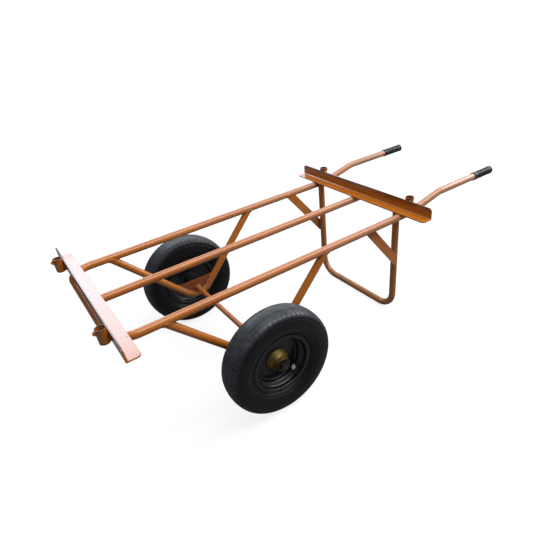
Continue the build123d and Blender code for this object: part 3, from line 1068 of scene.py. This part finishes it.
def makeNibs(s):
    depth = tyreR - flangeR
    cone = rounded([(s["core"], s["length"], 0), (s["radius"] * s["tip"], s["length"], 0),
                    (s["radius"], -s["sink"], 0), (s["core"], -s["sink"], 0)])
    nib = turnedMesh("nibPattern", cone, (0, 0, 0), (0, 0, 1), s["segments"])
    for side, sign in sides.items():
        places = []
        for up, out, count in s["rings"]:
            for face in (-1, 1):
                middle = Vector((axleX, sign * wheelY + face * tyreHalf * out, axleZ))
                for i in range(count):
                    angle = 2 * math.pi * (i + s["stagger"] * face) / count
                    spoke = Vector((math.cos(angle), 0, math.sin(angle)))
                    outward = Vector((0, face, 0)) + spoke * (up - s["upright"])
                    places.append((middle + spoke * (flangeR + depth * up), outward))
        standPieces("mould_nibs_" + side, "mouldNibs_" + side, nib, places, tyreRubber,
                    s["least"], s["most"], s["seed"] + sign, "wheel_" + side)


makeNibs(nibSettings)
print("mould nibs made")

# pale floor and soft light from above, the far side and the right
dayTint = (0.93, 0.96, 1.0)
studio = dict(
    ambientLow=0.04, ambientHigh=0.74, ambientBand=(-0.05, 0.95), mirrorLow=0.02, mirrorHigh=1.0,
    mirrorBand=(0.05, 0.9), brightSide=(0.45, 0.02, 0.89), floorHalf=40, floorColour=(0.18, 0.18, 0.18, 1),
    floorMirror=0.02, floorNear=(0.9, 0.83), floorFar=(3.6, 0.95),
    lamps=dict(
        keyLight=dict(place=(-0.5, 3.0, 2.3), aim=(-0.1, 0.0, 0.35), size=(1.3, 1.35), power=29.5,
                      tint=(0.62, 0.82, 1.0)),
        backLight=dict(place=(1.5, 3.3, 2.3), aim=(0.2, 0.0, 0.35), size=(3.2, 1.5), power=32, tint=dayTint),
        sideLight=dict(place=(3.4, -0.5, 2.0), aim=(0.2, 0.0, 0.4), size=(2.6, 1.7), power=83, tint=dayTint),
        topLight=dict(place=(0.9, -1.0, 2.9), aim=(0.9, 0.0, 0.4), size=(3.4, 1.6), power=84, tint=dayTint)))


def skyLevel(tree, s):
    path = addNode(tree, "ShaderNodeLightPath").outputs
    place = addNode(tree, "ShaderNodeTexCoord").outputs["Generated"]
    facing = vectorOf(tree, "DOT_PRODUCT", place, Vector(s["brightSide"]).normalized())["Value"]
    around = rampOf(tree, facing, *s["ambientBand"], s["ambientLow"], s["ambientHigh"])
    mirrored = rampOf(tree, facing, *s["mirrorBand"], s["mirrorLow"], s["mirrorHigh"])
    level = mixValues(tree, path["Is Glossy Ray"], around, mirrored)
    return mixValues(tree, path["Is Camera Ray"], level, 1.0)


def makeLamp(name, s):
    data = bpy.data.lights.new(name, "AREA")
    data.shape = "RECTANGLE"
    data.size, data.size_y = s["size"]
    data.energy = s["power"]
    data.color = s["tint"]
    lamp = addObject(name, data)
    lamp.location = s["place"]
    lamp.rotation_euler = (Vector(s["aim"]) - lamp.location).to_track_quat("-Z", "Y").to_euler()


def makeFloor(s):
    half = s["floorHalf"]
    corners = [(-half, -half, 0), (half, -half, 0), (half, half, 0), (-half, half, 0)]
    mesh = bpy.data.meshes.new("studioFloor")
    mesh.from_pydata(corners, [], [(0, 1, 2, 3)])
    floor = addObject("studioFloor", mesh)
    mat, tree = newMaterial("floorPale")
    matt = addNode(tree, "ShaderNodeBsdfDiffuse", {"Color": s["floorColour"]})
    path = addNode(tree, "ShaderNodeLightPath").outputs
    lift = mathOf(tree, "MULTIPLY", path["Is Glossy Ray"], s["floorMirror"])
    # away from the lamps the floor is lifted more, so that it stays evenly pale
    away = vectorOf(tree, "LENGTH", placeOf(tree))["Value"]
    seen = rampOf(tree, away, s["floorNear"][0], s["floorFar"][0], s["floorNear"][1], s["floorFar"][1])
    lift = mixValues(tree, path["Is Camera Ray"], lift, seen)
    glow = addNode(tree, "ShaderNodeEmission", {"Color": (1, 1, 1, 1), "Strength": lift})
    both = addNode(tree, "ShaderNodeAddShader", {0: matt.outputs[0], 1: glow.outputs[0]})
    addNode(tree, "ShaderNodeOutputMaterial", {"Surface": both.outputs[0]})
    mesh.materials.append(mat)


def makeStudio(s):
    world = bpy.data.worlds.new("studioWorld")
    bpy.context.scene.world = world
    world.use_nodes = True
    tree = world.node_tree
    tree.nodes.clear()
    sky = addNode(tree, "ShaderNodeBackground", {"Color": (1, 1, 1, 1), "Strength": skyLevel(tree, s)})
    addNode(tree, "ShaderNodeOutputWorld", {"Surface": sky.outputs[0]})
    makeFloor(s)
    for name, lamp in s["lamps"].items():
        makeLamp(name, lamp)
    bpy.context.scene.view_settings.view_transform = "Standard"


makeStudio(studio)
print("studio lit")
